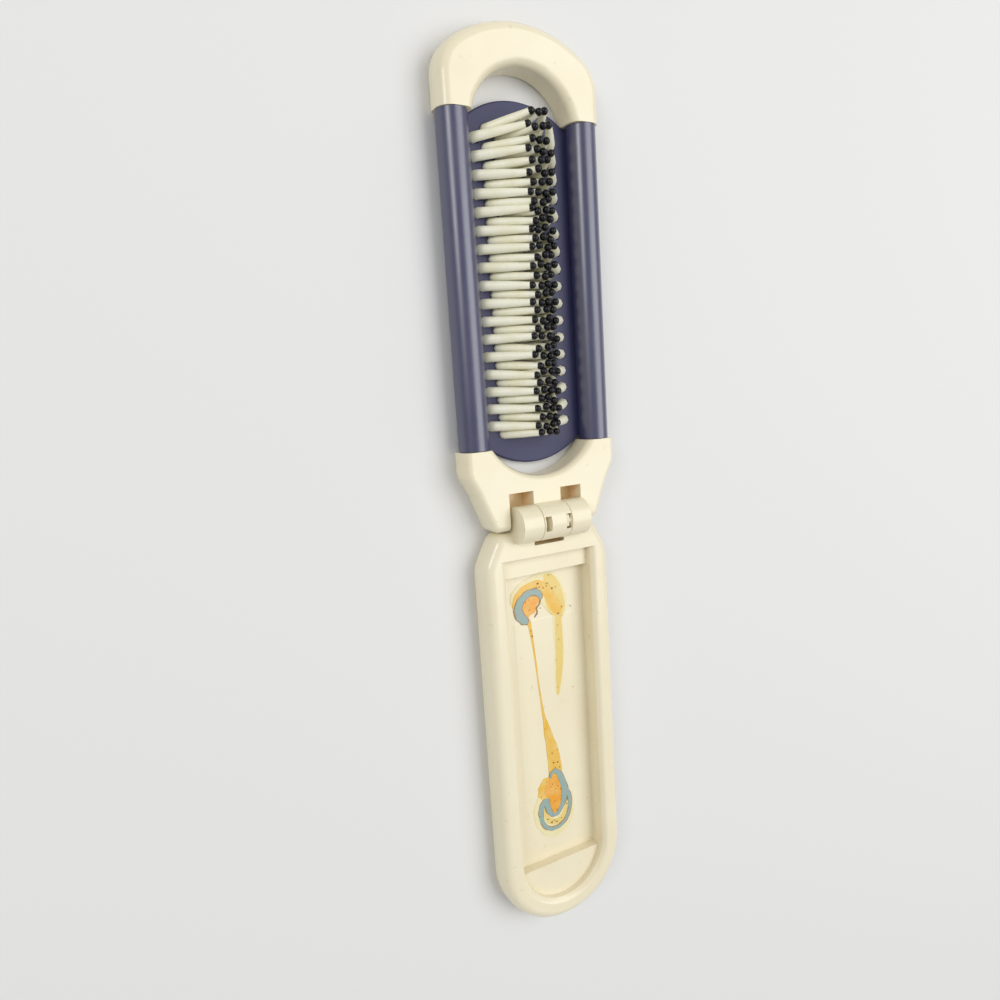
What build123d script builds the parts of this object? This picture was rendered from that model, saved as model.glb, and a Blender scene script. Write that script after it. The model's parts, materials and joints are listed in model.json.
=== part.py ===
from build123d import *
import math
import os

# A pocket hairbrush that folds in half. The head has two round rails, a cream arch at its
# end, a plate of pins between the rails, and a forked yoke at the hinge. The handle is a
# shallow tray. The brush lies open on its back: +X is across it, +Y runs from the handle to
# the arch, and +Z is the side of the pins. All sizes are in millimetres.

# Rails, and how far the cream end pieces stand proud of them
rail_diameter = 7.1
rail_spacing = 33.0
rail_start = 17.8
rail_end = 90.0
rail_end_gap = 0.12
cap_proud = 0.2

# Spigots of the arch and the yoke, in sockets of the rails
spigot_diameter = 3.7
spigot_length = 5.0
spigot_clearance = 0.05
socket_end_room = 0.3

# Arch
arch_rise = 19.2
arch_top_width = 9.3
arch_top_radius = 28.0
arch_shoulder_radius = 9.0
arch_inner_lip = 0.5
arch_front_rounding = 2.9
arch_back_rounding = 2.2
arch_inner_rounding = 2.2
arch_inner_back_bevel = 0.8

# Handle
handle_length = 104.6
handle_half_width = 17.7
handle_thickness = 7.0
handle_neck_inset = 4.1
handle_shoulder = 9.4
handle_neck_fillet = 3.3
handle_shoulder_fillet = 8.0
handle_front_rounding = 3.0
handle_back_bevel = 1.5

# Recess of the handle: a rim all round, a shelf at each end, and the mirror's pocket
rim_width = 5.7
end_rim_width = 5.8
recess_start = 8.2
shelf_length = 4.8
half_moon_length = 9.2
pocket_floor = 2.2
mirror_depth = 2.4
recess_edge_rounding = 1.6

# Hinge
fold_gap = 0.5
knuckle_radius = 4.4
middle_knuckle_length = 7.5
barrel_length = 18.4
knuckle_gap = 0.15
seam_half_gap = 0.15
seam_offset = 1.5
hinge_pin_diameter = 2.8
pin_running_clearance = 0.08
pin_seat_clearance = 0.02
pin_blind_wall = 0.9
pin_end_set_back = 0.3
pin_end_chamfer = 0.3

# Wells beside and below the knuckles
well_floor_clearance = 0.7
yoke_well_room = 3.1
yoke_well_left_room = 1.0
yoke_well_right_room = 0.3
handle_well_room = 1.1
handle_well_side_room = 0.35

# Windows and the detent in the middle knuckle
window_width = 1.6
window_length = 3.5
window_from_end = 0.35
detent_radius = 0.8
detent_reach = 1.25
detent_clearance = 0.15
detent_end_room = 0.4

# Yoke
yoke_side_end = 12.3
yoke_waist_half_width = 17.6
yoke_waist = 7.4
yoke_foot_half_width = 14.2
yoke_arc_bottom = 10.9
yoke_shoulder_fillet = 4.0
yoke_waist_fillet = 8.0
yoke_foot_fillet = 2.2
yoke_front_rounding = 1.7
yoke_back_bevel = 1.2
yoke_arc_rounding = 1.9
yoke_arc_back_bevel = 0.8

# Plate of pins, and its back cover
plate_engagement = 2.65
plate_gap_at_yoke = 2.7
plate_gap_at_arch = 5.5
plate_end_radius = 20.0
plate_thickness = 1.0
plate_edge_bevel = 0.3
plate_slot_clearance = 0.15
plate_face_clearance = 0.05
cover_lift = 0.3
cover_inset = 3.0
cover_thickness = 0.5
cover_edge_bevel = 0.2

# Pins: seven rows, the odd ones staggered by half a pitch from the even ones
row_count = 7
row_spacing = 3.3
rows_side_shift = -0.4
pin_pitch = 3.92
pins_shift = 0.3
pins_in_short_row = 17
pin_sides = 5
pin_foot_radius = 1.1
pin_neck_radius = 0.76
pin_knee_height = 0.35
pin_hole_clearance = 0.12
strip_side_wall = 0.15
strip_end_wall = 0.6
strip_thickness = 0.45
strip_clearance = 0.05

# Ball tips: the rows lean in, so their tips crowd along the middle
tip_radius = 0.85
tip_row_spacing = 0.94
tip_rise_middle = 7.5
tip_rise_outer = 6.9
tip_crown_angle = 40.0

# Shares of a radius that the two cuts of a stepped rounding take
first_step_share = 0.634
second_step_share = 0.25

# Distance within which an edge or corner counts as being at its place
hair = 0.001

# Derived places. Distances along the brush are counted from the hinge axis.
rail_radius = rail_diameter / 2
rail_x = rail_spacing / 2
rail_inner_side = rail_x - rail_radius
frame_thickness = rail_diameter
frame_half_width = rail_x + rail_radius + cap_proud
head_length = rail_end + arch_rise
hinge_y = (handle_length - head_length) / 2
hinge_height = (rail_diameter + handle_thickness + fold_gap) / 2
yoke_foot = seam_half_gap - seam_offset
handle_start = seam_half_gap + seam_offset
arch_inner_top = head_length - arch_top_width
barrel_half = barrel_length / 2
middle_half = middle_knuckle_length / 2
well_floor = hinge_height - knuckle_radius - well_floor_clearance
track_depth = detent_reach - knuckle_gap + detent_end_room
detent_offset = (hinge_pin_diameter / 2 + knuckle_radius) / 2
handle_neck_half_width = handle_half_width - handle_neck_inset
recess_half_width = handle_half_width - rim_width
recess_end_center = handle_length - end_rim_width - recess_half_width
pocket_start = recess_start + shelf_length
pocket_end = handle_length - end_rim_width - half_moon_length
shelf_height = pocket_floor + mirror_depth
plate_start = yoke_arc_bottom + plate_gap_at_yoke
plate_end = arch_inner_top - plate_gap_at_arch
plate_length = plate_end - plate_start
plate_middle = hinge_y + (plate_start + plate_end) / 2
plate_half_width = rail_inner_side + plate_engagement
plate_bottom = cover_lift + cover_thickness
plate_top = plate_bottom + plate_thickness
strip_width = 2 * (pin_foot_radius + strip_side_wall)
middle_row = (row_count + 1) // 2


def arc_radius(half_width, depth):
    """The radius of an arc from its half width and its depth."""
    return (half_width**2 + depth**2) / (2 * depth)


def finish(name, builder):
    """Label a finished piece and write it."""
    builder.part.label = name
    export_step(builder.part, f"parts/{name}.step")
    solids = builder.part.solids()
    print(f"{name}: {len(solids)} solids, {builder.part.volume:.2f} mm3")


def across(x, distance, height):
    """A plane that faces +X, at a distance from the hinge axis along the brush."""
    return Plane(origin=(x, hinge_y + distance, height), x_dir=(0, 1, 0), z_dir=(1, 0, 0))


def along(x, distance, height):
    """A plane that faces +Y, at a distance from the hinge axis along the brush."""
    return Plane(origin=(x, hinge_y + distance, height), x_dir=(-1, 0, 0), z_dir=(0, 1, 0))


def flat_edges(builder, height):
    """The edges that lie flat at one height."""
    return builder.edges().filter_by_position(Axis.Z, height - hair, height + hair)


def edges_of_radius(builder, radius, height):
    """The round edges of one radius that lie flat at one height."""
    arcs = flat_edges(builder, height).filter_by(GeomType.CIRCLE)
    return arcs.filter_by(lambda edge: abs(edge.radius - radius) < hair)


def edges_off(edges, distance):
    """These edges, but for those that run straight across at one distance, if it is given."""
    if distance is None:
        return edges
    place = hinge_y + distance
    return [
        edge
        for edge in edges
        if abs(edge.center().Y - place) > hair or edge.bounding_box().size.Y > hair
    ]


def corner_at(sketch, x, distance):
    """The two mirrored corners of a sketch at one place."""
    place = hinge_y + distance
    return [
        vertex
        for vertex in sketch.vertices()
        if abs(abs(vertex.X) - x) < hair and abs(vertex.Y - place) < hair
    ]


def round_over(builder, height, inward, radius, end=None):
    """Round the outline's edges at one height in three flat steps, but for a straight end."""
    first = radius * first_step_share
    second = radius * second_step_share
    for place, size in ((height, first), (height, second), (height + inward * first, second)):
        chamfer(edges_off(flat_edges(builder, place), end), size)


def soften_arc(builder, arc, radius):
    """Round the front edge of an arc-shaped wall in three flat steps."""
    first = radius * first_step_share
    second = radius * second_step_share
    chamfer(edges_of_radius(builder, arc, frame_thickness), first)
    chamfer(edges_of_radius(builder, arc, frame_thickness - first), second)
    chamfer(edges_of_radius(builder, arc + first, frame_thickness), second)


def make_top_arch():
    """The cream arch, rounded inside and out, with a spigot for each rail."""
    slot = plate_room()
    inner_radius = arc_radius(rail_inner_side - arch_inner_lip, arch_inner_top - rail_end)
    arc_centre = head_length - arch_top_radius
    shoulder = arc_centre + math.sqrt(arch_top_radius**2 - frame_half_width**2)
    corners = [
        (-frame_half_width, shoulder),
        (-frame_half_width, rail_end),
        (frame_half_width, rail_end),
        (frame_half_width, shoulder),
    ]
    with BuildPart() as arch:
        with BuildSketch() as outline:
            with BuildLine():
                Polyline(*[(x, hinge_y + y) for x, y in corners])
                ThreePointArc(
                    (frame_half_width, hinge_y + shoulder),
                    (0, hinge_y + head_length),
                    (-frame_half_width, hinge_y + shoulder),
                )
            make_face()
            fillet(corner_at(outline, frame_half_width, shoulder), arch_shoulder_radius)
        extrude(amount=frame_thickness)
        round_over(arch, frame_thickness, -1, arch_front_rounding, rail_end)
        round_over(arch, 0, 1, arch_back_rounding, rail_end)
        with BuildSketch():
            with Locations((0, hinge_y + arch_inner_top - inner_radius)):
                Circle(inner_radius)
        extrude(amount=frame_thickness, mode=Mode.SUBTRACT)
        soften_arc(arch, inner_radius, arch_inner_rounding)
        chamfer(edges_of_radius(arch, inner_radius, 0), arch_inner_back_bevel)
        add(slot, mode=Mode.SUBTRACT)
        for side in (-1, 1):
            with BuildSketch(along(side * rail_x, rail_end, rail_radius)):
                Circle(spigot_diameter / 2)
            extrude(amount=-spigot_length)
    finish("top_arch", arch)


def plate_outline(inset):
    """Draw the plate's outline, straight sides and bowed ends, smaller all round by an inset."""
    length = plate_length - 2 * inset
    with Locations((0, plate_middle)):
        SlotOverall(length, 2 * (plate_end_radius - inset), rotation=90)
        Rectangle(2 * (plate_half_width - inset), length, mode=Mode.INTERSECT)


def plate_room():
    """The plate's body with its clearances, which cuts the slots that hold its edge."""
    with BuildPart() as room:
        with BuildSketch(Plane.XY.offset(plate_bottom - plate_face_clearance)):
            plate_outline(-plate_slot_clearance)
        extrude(amount=plate_top - plate_bottom + 2 * plate_face_clearance)
    return room.part


def make_rail(name, side):
    """A navy rod with a socket in each end and a slot that takes the plate's edge."""
    slot = plate_room()
    with BuildPart() as rail:
        with BuildSketch(along(side * rail_x, rail_start + rail_end_gap, rail_radius)):
            Circle(rail_radius)
        extrude(amount=rail_end - rail_start - 2 * rail_end_gap)
        for distance, reach in ((rail_start, 1), (rail_end, -1)):
            with BuildSketch(along(side * rail_x, distance, rail_radius)):
                Circle(spigot_diameter / 2 + spigot_clearance)
            extrude(amount=reach * (spigot_length + socket_end_room), mode=Mode.SUBTRACT)
        add(slot, mode=Mode.SUBTRACT)
    finish(name, rail)


def row_places(row):
    """The places of one row's pins, as distances along Y in the part's frame."""
    count = pins_in_short_row + 1 - row % 2
    first = plate_middle + pins_shift - pin_pitch * (count - 1) / 2
    return [first + pin_pitch * step for step in range(count)]


def row_x(row):
    """Where a row's pins stand across the plate."""
    return rows_side_shift + (row - middle_row) * row_spacing


def strip_size(row):
    """The middle and the length of the strip that carries one row."""
    places = row_places(row)
    reach = pin_foot_radius + strip_end_wall
    return (places[0] + places[-1]) / 2, places[-1] - places[0] + 2 * reach


def make_base_plate():
    """The navy plate: a hole for each pin, and a groove below for each strip."""
    with BuildPart() as plate:
        with BuildSketch(Plane.XY.offset(plate_bottom)):
            plate_outline(0)
        extrude(amount=plate_top - plate_bottom)
        rim = plate.edges().filter_by_position(Axis.Z, plate_top, plate_top)
        chamfer(rim, plate_edge_bevel)
        with BuildSketch(Plane.XY.offset(plate_bottom)):
            for row in range(1, row_count + 1):
                middle, length = strip_size(row)
                with Locations((row_x(row), middle)):
                    Rectangle(strip_width + 2 * strip_clearance, length + 2 * strip_clearance)
        extrude(amount=strip_thickness + strip_clearance, mode=Mode.SUBTRACT)
        with BuildSketch(Plane.XY.offset(plate_bottom)):
            for row in range(1, row_count + 1):
                with Locations(*[(row_x(row), place) for place in row_places(row)]):
                    RegularPolygon(pin_foot_radius + pin_hole_clearance, pin_sides, rotation=90)
        extrude(amount=plate_top - plate_bottom, mode=Mode.SUBTRACT)
    finish("base_plate", plate)


def make_back_cover():
    """The thin cover that closes the grooves of the plate at the back."""
    with BuildPart() as cover:
        with BuildSketch(Plane.XY.offset(plate_bottom - cover_thickness)):
            plate_outline(cover_inset)
        extrude(amount=cover_thickness)
        low = plate_bottom - cover_thickness
        chamfer(cover.edges().filter_by_position(Axis.Z, low, low), cover_edge_bevel)
    finish("back_cover", cover)


def tip_point(row):
    """The centre of a ball tip, across and up, for one row."""
    share = abs(row - middle_row) / (middle_row - 1)
    rise = tip_rise_middle + share * (tip_rise_outer - tip_rise_middle)
    return (row - middle_row) * tip_row_spacing, plate_top + rise


def tip_plane(row, distance):
    """A plane square to a row's lean, at a distance from the ball's centre along it."""
    tip_x, tip_z = tip_point(row)
    run = tip_x - row_x(row)
    rise = tip_z - plate_top - pin_knee_height
    length = math.hypot(run, rise)
    lean = (run / length, 0, rise / length)
    origin = (tip_x + distance * lean[0], 0, tip_z + distance * lean[2])
    return Plane(origin=origin, x_dir=(0, 1, 0), z_dir=lean)


def faceted(sections):
    """A closed solid with flat facets between polygons that lie on a series of planes."""
    rings = []
    for plane, radius in sections:
        ring = []
        for side in range(pin_sides):
            turn = 2 * math.pi * side / pin_sides
            flat = (radius * math.cos(turn), radius * math.sin(turn), 0)
            ring.append(plane.from_local_coords(flat))
        rings.append(ring)
    faces = [Face(Wire.make_polygon(rings[0])), Face(Wire.make_polygon(rings[-1]))]
    for low, high in zip(rings, rings[1:]):
        for side in range(pin_sides):
            other = (side + 1) % pin_sides
            faces.append(Face(Wire.make_polygon([low[side], low[other], high[other]])))
            faces.append(Face(Wire.make_polygon([low[side], high[other], high[side]])))
    return Solid(Shell(faces))


def make_pin(row):
    """One pin at Y = 0: upright through the plate, then leaning and tapered to its neck."""
    seat = math.sqrt(tip_radius**2 - pin_neck_radius**2)
    foot = Plane(origin=(row_x(row), 0, plate_bottom), x_dir=(0, 1, 0), z_dir=(0, 0, 1))
    knee = foot.offset(plate_top - plate_bottom + pin_knee_height)
    neck = tip_plane(row, -seat)
    return faceted([(foot, pin_foot_radius), (knee, pin_foot_radius), (neck, pin_neck_radius)])


def make_tip(row):
    """One ball tip at Y = 0, in flat facets, seated on its pin's neck."""
    seat = math.sqrt(tip_radius**2 - pin_neck_radius**2)
    crown = tip_radius * math.cos(math.radians(tip_crown_angle))
    crown_radius = tip_radius * math.sin(math.radians(tip_crown_angle))
    return faceted([
        (tip_plane(row, -seat), pin_neck_radius),
        (tip_plane(row, 0), tip_radius),
        (tip_plane(row, crown), crown_radius),
    ])


def make_bristle_row(row):
    """A strip with its row of pins, all one moulding."""
    pin = make_pin(row)
    middle, length = strip_size(row)
    with BuildPart() as bristles:
        with BuildSketch(Plane.XY.offset(plate_bottom)):
            with Locations((row_x(row), middle)):
                Rectangle(strip_width, length)
        extrude(amount=strip_thickness)
        with Locations(*[(0, place, 0) for place in row_places(row)]):
            add(pin)
    finish(f"bristle_row_{row}", bristles)


def make_tip_row(row):
    """The ball tips of one row."""
    tip = make_tip(row)
    with BuildPart() as tips:
        with Locations(*[(0, place, 0) for place in row_places(row)]):
            add(tip)
    finish(f"tip_row_{row}", tips)


def middle_knuckle_cuts():
    """The pin's bore, the window, and the detent's track and notch, as one tool."""
    with BuildPart() as cuts:
        with BuildSketch(across(-middle_half, 0, hinge_height)):
            Circle(hinge_pin_diameter / 2 + pin_running_clearance)
        extrude(amount=middle_knuckle_length)
        window_x = -middle_half + window_from_end + window_width / 2
        with BuildSketch(Plane.XY.offset(hinge_height)):
            with Locations((window_x, hinge_y)):
                Rectangle(window_width, window_length)
            with Locations((middle_half - track_depth / 2, hinge_y)):
                Rectangle(track_depth, window_length)
        extrude(amount=2 * knuckle_radius)
        with BuildSketch(across(middle_half, 0, hinge_height)):
            Circle(detent_offset + detent_radius + detent_clearance)
            Circle(detent_offset - detent_radius - detent_clearance, mode=Mode.SUBTRACT)
        extrude(amount=-track_depth)
    return cuts.part


def make_yoke():
    """The forked piece between the rails and the hinge, with the middle knuckle."""
    slot = plate_room()
    knuckle_cuts = middle_knuckle_cuts()
    arc_through_rails = arc_radius(rail_inner_side, rail_start - yoke_arc_bottom)
    right = [
        (frame_half_width, rail_start),
        (frame_half_width, yoke_side_end),
        (yoke_waist_half_width, yoke_waist),
        (yoke_foot_half_width, yoke_foot),
    ]
    left = [(-x, y) for x, y in reversed(right)]
    with BuildPart() as yoke:
        with BuildSketch() as outline:
            with BuildLine():
                Polyline(*[(x, hinge_y + y) for x, y in right + left], close=True)
            make_face()
            fillet(corner_at(outline, frame_half_width, yoke_side_end), yoke_shoulder_fillet)
            fillet(corner_at(outline, yoke_waist_half_width, yoke_waist), yoke_waist_fillet)
            fillet(corner_at(outline, yoke_foot_half_width, yoke_foot), yoke_foot_fillet)
        extrude(amount=frame_thickness)
        round_over(yoke, frame_thickness, -1, yoke_front_rounding, rail_start)
        chamfer(edges_off(flat_edges(yoke, 0), rail_start), yoke_back_bevel)
        with BuildSketch():
            with Locations((0, hinge_y + yoke_arc_bottom + arc_through_rails)):
                Circle(arc_through_rails)
        extrude(amount=frame_thickness, mode=Mode.SUBTRACT)
        soften_arc(yoke, arc_through_rails, yoke_arc_rounding)
        chamfer(edges_of_radius(yoke, arc_through_rails, 0), yoke_arc_back_bevel)
        add(slot, mode=Mode.SUBTRACT)
        for side in (-1, 1):
            with BuildSketch(along(side * rail_x, rail_start, rail_radius)):
                Circle(spigot_diameter / 2)
            extrude(amount=spigot_length)
        with BuildSketch(Plane.XY.offset(well_floor)):
            for side, room in ((-1, yoke_well_left_room), (1, yoke_well_right_room)):
                well_width = barrel_half + room - middle_half
                with Locations((side * (middle_half + well_width / 2), hinge_y)):
                    Rectangle(well_width, 2 * (knuckle_radius + yoke_well_room))
        extrude(amount=frame_thickness, mode=Mode.SUBTRACT)
        with BuildSketch(across(-middle_half, 0, hinge_height)):
            Circle(knuckle_radius)
        extrude(amount=middle_knuckle_length)
        add(knuckle_cuts, mode=Mode.SUBTRACT)
    finish("yoke", yoke)


def make_hinge_pin():
    """The pin that runs through all three knuckles."""
    start = -barrel_half + pin_blind_wall + pin_seat_clearance
    end = barrel_half - pin_end_set_back
    with BuildPart() as hinge_pin:
        with BuildSketch(across(start, 0, hinge_height)):
            Circle(hinge_pin_diameter / 2)
        extrude(amount=end - start)
        chamfer(hinge_pin.edges().filter_by(GeomType.CIRCLE), pin_end_chamfer)
    finish("hinge_pin", hinge_pin)


def recess_cut():
    """The recess with its round end, and the mirror's pocket below the two shelves."""
    with BuildPart() as recess:
        with BuildSketch(Plane.XY.offset(shelf_height)):
            middle = hinge_y - (recess_start + recess_end_center) / 2
            with Locations((0, middle)):
                Rectangle(2 * recess_half_width, recess_end_center - recess_start)
            with Locations((0, hinge_y - recess_end_center)):
                Circle(recess_half_width)
        extrude(amount=handle_thickness - shelf_height)
        with BuildSketch(Plane.XY.offset(pocket_floor)):
            with Locations((0, hinge_y - recess_end_center)):
                Circle(recess_half_width)
            with Locations((0, middle)):
                Rectangle(2 * recess_half_width, recess_end_center - recess_start)
            with Locations((0, hinge_y - (pocket_start + pocket_end) / 2)):
                length = pocket_end - pocket_start
                Rectangle(2 * recess_half_width, length, mode=Mode.INTERSECT)
        extrude(amount=shelf_height - pocket_floor)
    return recess.part


def side_knuckles():
    """The two outer knuckles, with the detent nub on the right one."""
    start = middle_half + knuckle_gap
    with BuildPart() as knuckles:
        for side in (-1, 1):
            with BuildSketch(across(side * start, 0, hinge_height)):
                Circle(knuckle_radius)
            extrude(amount=side * (barrel_half - start))
        with BuildSketch(across(start, 0, hinge_height)):
            with Locations((0, detent_offset)):
                Circle(detent_radius)
        extrude(amount=-detent_reach)
    return knuckles.part


def make_handle():
    """The tray: a rounded body with a two-level recess, two knuckles and the detent nub."""
    recess = recess_cut()
    knuckles = side_knuckles()
    end_center = handle_length - handle_half_width
    right = [
        (handle_half_width, -end_center),
        (handle_half_width, -handle_shoulder),
        (handle_neck_half_width, -handle_start),
    ]
    left = [(-x, y) for x, y in reversed(right)]
    with BuildPart() as handle:
        with BuildSketch() as outline:
            with BuildLine():
                Polyline(*[(x, hinge_y + y) for x, y in right + left])
                ThreePointArc(
                    (-handle_half_width, hinge_y - end_center),
                    (0, hinge_y - handle_length),
                    (handle_half_width, hinge_y - end_center),
                )
            make_face()
            shoulders = corner_at(outline, handle_half_width, -handle_shoulder)
            fillet(shoulders, handle_shoulder_fillet)
            fillet(corner_at(outline, handle_neck_half_width, -handle_start), handle_neck_fillet)
        extrude(amount=handle_thickness)
        round_over(handle, handle_thickness, -1, handle_front_rounding)
        chamfer(flat_edges(handle, 0), handle_back_bevel)
        add(recess, mode=Mode.SUBTRACT)
        for share in (first_step_share, second_step_share):
            top = handle.faces().sort_by(Axis.Z)[-1]
            sides = edges_off(top.inner_wires()[0].edges(), -recess_start)
            chamfer(sides, recess_edge_rounding * share)
        well_width = middle_knuckle_length + 2 * handle_well_side_room
        with BuildSketch(Plane.XY.offset(well_floor)):
            with Locations((0, hinge_y)):
                Rectangle(well_width, 2 * (knuckle_radius + handle_well_room))
        extrude(amount=handle_thickness, mode=Mode.SUBTRACT)
        add(knuckles)
        with BuildSketch(across(barrel_half, 0, hinge_height)):
            Circle(hinge_pin_diameter / 2 + pin_seat_clearance)
        extrude(amount=-(barrel_length - pin_blind_wall), mode=Mode.SUBTRACT)
    finish("handle", handle)


def main():
    os.makedirs("parts", exist_ok=True)
    make_top_arch()
    make_rail("left_rail", -1)
    make_rail("right_rail", 1)
    make_base_plate()
    make_back_cover()
    for row in range(1, row_count + 1):
        make_bristle_row(row)
        make_tip_row(row)
    make_yoke()
    make_hinge_pin()
    make_handle()


main()
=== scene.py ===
import json
import math
import random

import bpy
from mathutils import Matrix, Vector


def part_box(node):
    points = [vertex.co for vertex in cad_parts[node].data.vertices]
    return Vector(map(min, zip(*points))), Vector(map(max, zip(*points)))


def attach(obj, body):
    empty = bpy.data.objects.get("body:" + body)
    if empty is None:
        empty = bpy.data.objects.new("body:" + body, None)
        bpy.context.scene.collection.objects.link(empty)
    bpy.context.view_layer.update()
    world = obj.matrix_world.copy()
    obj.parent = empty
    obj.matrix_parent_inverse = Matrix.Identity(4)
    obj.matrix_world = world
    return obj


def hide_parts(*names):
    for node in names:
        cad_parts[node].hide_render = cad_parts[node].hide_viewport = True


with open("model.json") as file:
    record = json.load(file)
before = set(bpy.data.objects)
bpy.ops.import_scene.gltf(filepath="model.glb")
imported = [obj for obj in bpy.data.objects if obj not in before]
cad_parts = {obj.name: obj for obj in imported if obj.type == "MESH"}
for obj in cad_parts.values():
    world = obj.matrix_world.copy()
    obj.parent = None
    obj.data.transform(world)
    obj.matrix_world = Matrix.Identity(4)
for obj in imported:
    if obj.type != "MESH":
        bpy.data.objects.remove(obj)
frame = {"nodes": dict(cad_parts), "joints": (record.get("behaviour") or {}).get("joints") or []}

bl_info = {
    "name": "Folding travel brush",
    "version": (1, 0, 0),
    "blender": (4, 5, 0),
    "location": "View3D > Sidebar > Brush",
    "description": "Dresses the frame of a folding travel brush: rails, arch, pins, yoke and tray",
    "category": "Object",
}

MM = 0.001
HINGE = Vector(frame["joints"][0]["pos_m"])
PLATE_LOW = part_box("base_plate")[0].z
PLATE_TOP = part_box("base_plate")[1].z

# Moulded copies of the CAD pieces
MERGE_DISTANCE = 0.002 * MM
FLAT_ANGLE = math.radians(0.5)
EDGE_ANGLE = math.radians(38)
PLATE_SOFTNESS = 0.28 * MM
RAIL_SOFTNESS = 0.1 * MM

# Shading: edges above these angles, in degrees, stay sharp
MOULDED_ANGLE = 40
ROUND_ANGLE = 50
NUB_ANGLE = 60
FACE_WEIGHT = 80

# Painted shade: a warm tan put where shade falls in the wells and the slot. A pair says where
# its mask is 0 and where it is 1, in millimetres: two heights, two distances from the hinge axis,
# and how far past the half width
SHADE_TOP = (6.6, 4.2)
SHADE_BOTTOM = (1.2, 1.8)
SHADE_END = (9.0, 7.4)
SHADE_BARREL = (4.45, 4.65)
SHADE_SIDE = (0.4, -0.4)
# Share of subsurface that lightens the painted shade in the wells and the slot
SHADE_SUBSURFACE = 0.7
SLOT_HALF_WIDTH = 4.3 * MM
WELLS_HALF_WIDTH = 10.8 * MM
WIDTH_BLEND = 0.5 * MM

# Pins: their rows, and the rings, the collar and the bend as shares of a pin's length
ROWS = 7
MIDDLE_ROW = 4
LONG_ROW = 2
PINS_IN_LONG_ROW = 18
PIN_RINGS = (0.14, 0.17, 0.24, 0.32, 0.62)
COLLAR_SHARE = 0.15
COLLAR_WIDTH = 1.14
KNEE_SHARE = 0.24
TURN_START = 0.16
FOOT_RISE = 0.1 * MM
KNEE_RISE = 0.4 * MM

# Ball tips: their stretch, and how they rise, drop, stray and lean, in millimetres
BALL_STRETCH = 1.06
BALL_RISE = 7.5
OUTER_ROW_DROP = 0.6
RISE_STRAY = 0.12
SIDE_STRAY = 0.3
FAN_REACH = 4.5
LEAN_BACK = 0.4

# The detent's nub: its place is given from the hinge axis
NUB_PLACE = Vector((3.0, 0, 2.85)) * MM
NUB_SIZE = Vector((1.3, 3.2, 1.5)) * MM
NUB_ROUNDING = 0.6 * MM

# The tray's pocket: places on its floor are in millimetres from the hinge axis
POCKET_FLOOR = 2.2 * MM
PANEL_RISE = 0.05 * MM
PANEL_LIFT = 0.003 * MM
PANEL_SLOPE = 0.3 * MM
PANEL_LOW = (-8.6, -72.3)
PANEL_HIGH = (8.6, -25.1)

# Dried glue: the flat and the rounded share of its height, and how far its rim strays: in
# millimetres, and at most as a share of a streak's half width
FLAT_SHARE = 0.2
ROUND_SHARE = 0.8
RAGGED = 0.13
RAGGED_SHARE = 0.3

# Dirt caught in the glue, in millimetres: each speck has x, y and a share of the radius
SPECK_RADIUS = 0.17
SPECK_DEPTH = 0.1
SPECK_RISE = 0.17
SPECK_ROUNDING = 0.03
SPECK_STRETCH = (1.35, 0.8, 1.0)
SPECKS = (
    (-1.2, -16.3, 1.5), (0.3, -17.7, 1), (2.8, -18.2, 1.5), (1.7, -16.7, 0.8), (-2.0, -17.4, 0.9),
    (-2.8, -17.6, 0.8), (-3.9, -19.9, 0.7), (5.4, -23.5, 1), (4.3, -25.0, 1.3), (3.9, -18.1, 0.8),
    (-3.6, -29.2, 1.2), (-3.8, -27.8, 0.8), (4.0, -28.0, 0.7), (4.0, -31.7, 0.7),
    (8.0, -23.8, 0.8), (7.6, -45.3, 0.7), (-5.0, -20.3, 0.8), (-1.9, -23.9, 0.9),
    (-0.8, -22.6, 0.8), (0.2, -61.3, 1), (0.5, -64.0, 1.3), (1.7, -64.2, 1.3), (0.9, -65.4, 0.8),
    (2.2, -65.7, 1), (-0.2, -69.7, 0.9), (0.6, -71.2, 0.7), (1.4, -70.7, 0.9), (0.2, -74.5, 0.8),
    (0.7, -76.9, 0.8), (-1.0, -80.1, 1.4), (-2.1, -78.9, 1), (-0.2, -79.8, 0.9), (0.5, -80.4, 1.2),
    (3.8, -76.5, 0.9), (4.2, -77.9, 0.9), (2.0, -79.9, 0.9), (3.9, -75.3, 0.8))

# The blue-grey rings: x, y and half width along each
RING_HIGH = (
    (-4.5, -25.6, 0.5), (-5.5, -24.9, 1.15), (-6.7, -23.5, 1.2), (-7.2, -21.7, 1.15),
    (-6.4, -19.8, 1.0), (-4.6, -18.4, 0.9), (-2.3, -18.1, 0.85), (-0.8, -19.0, 0.8),
    (-0.5, -20.4, 0.45))
RING_LOW = (
    (-0.9, -68.0, 0.3), (-0.4, -66.7, 0.45), (0.6, -66.2, 0.6), (1.9, -67.2, 0.75),
    (2.8, -69.4, 0.9), (3.5, -72.2, 1.0), (3.0, -75.0, 0.9), (2.2, -76.8, 0.65),
    (0.8, -78.4, 0.6), (-0.6, -78.2, 0.6), (-1.7, -76.6, 0.8), (-2.0, -74.6, 0.85),
    (-2.1, -73.0, 0.5))
RING_OUTER = (
    (3.7, -72.2, 0.6), (4.6, -74.0, 0.62), (4.9, -76.0, 0.55), (4.5, -78.6, 0.55),
    (3.2, -80.8, 0.55), (1.2, -82.0, 0.55), (-0.9, -82.0, 0.55), (-2.7, -81.0, 0.55),
    (-3.9, -79.0, 0.6), (-4.2, -76.6, 0.65), (-3.6, -74.6, 0.8), (-2.4, -73.2, 0.6))

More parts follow.
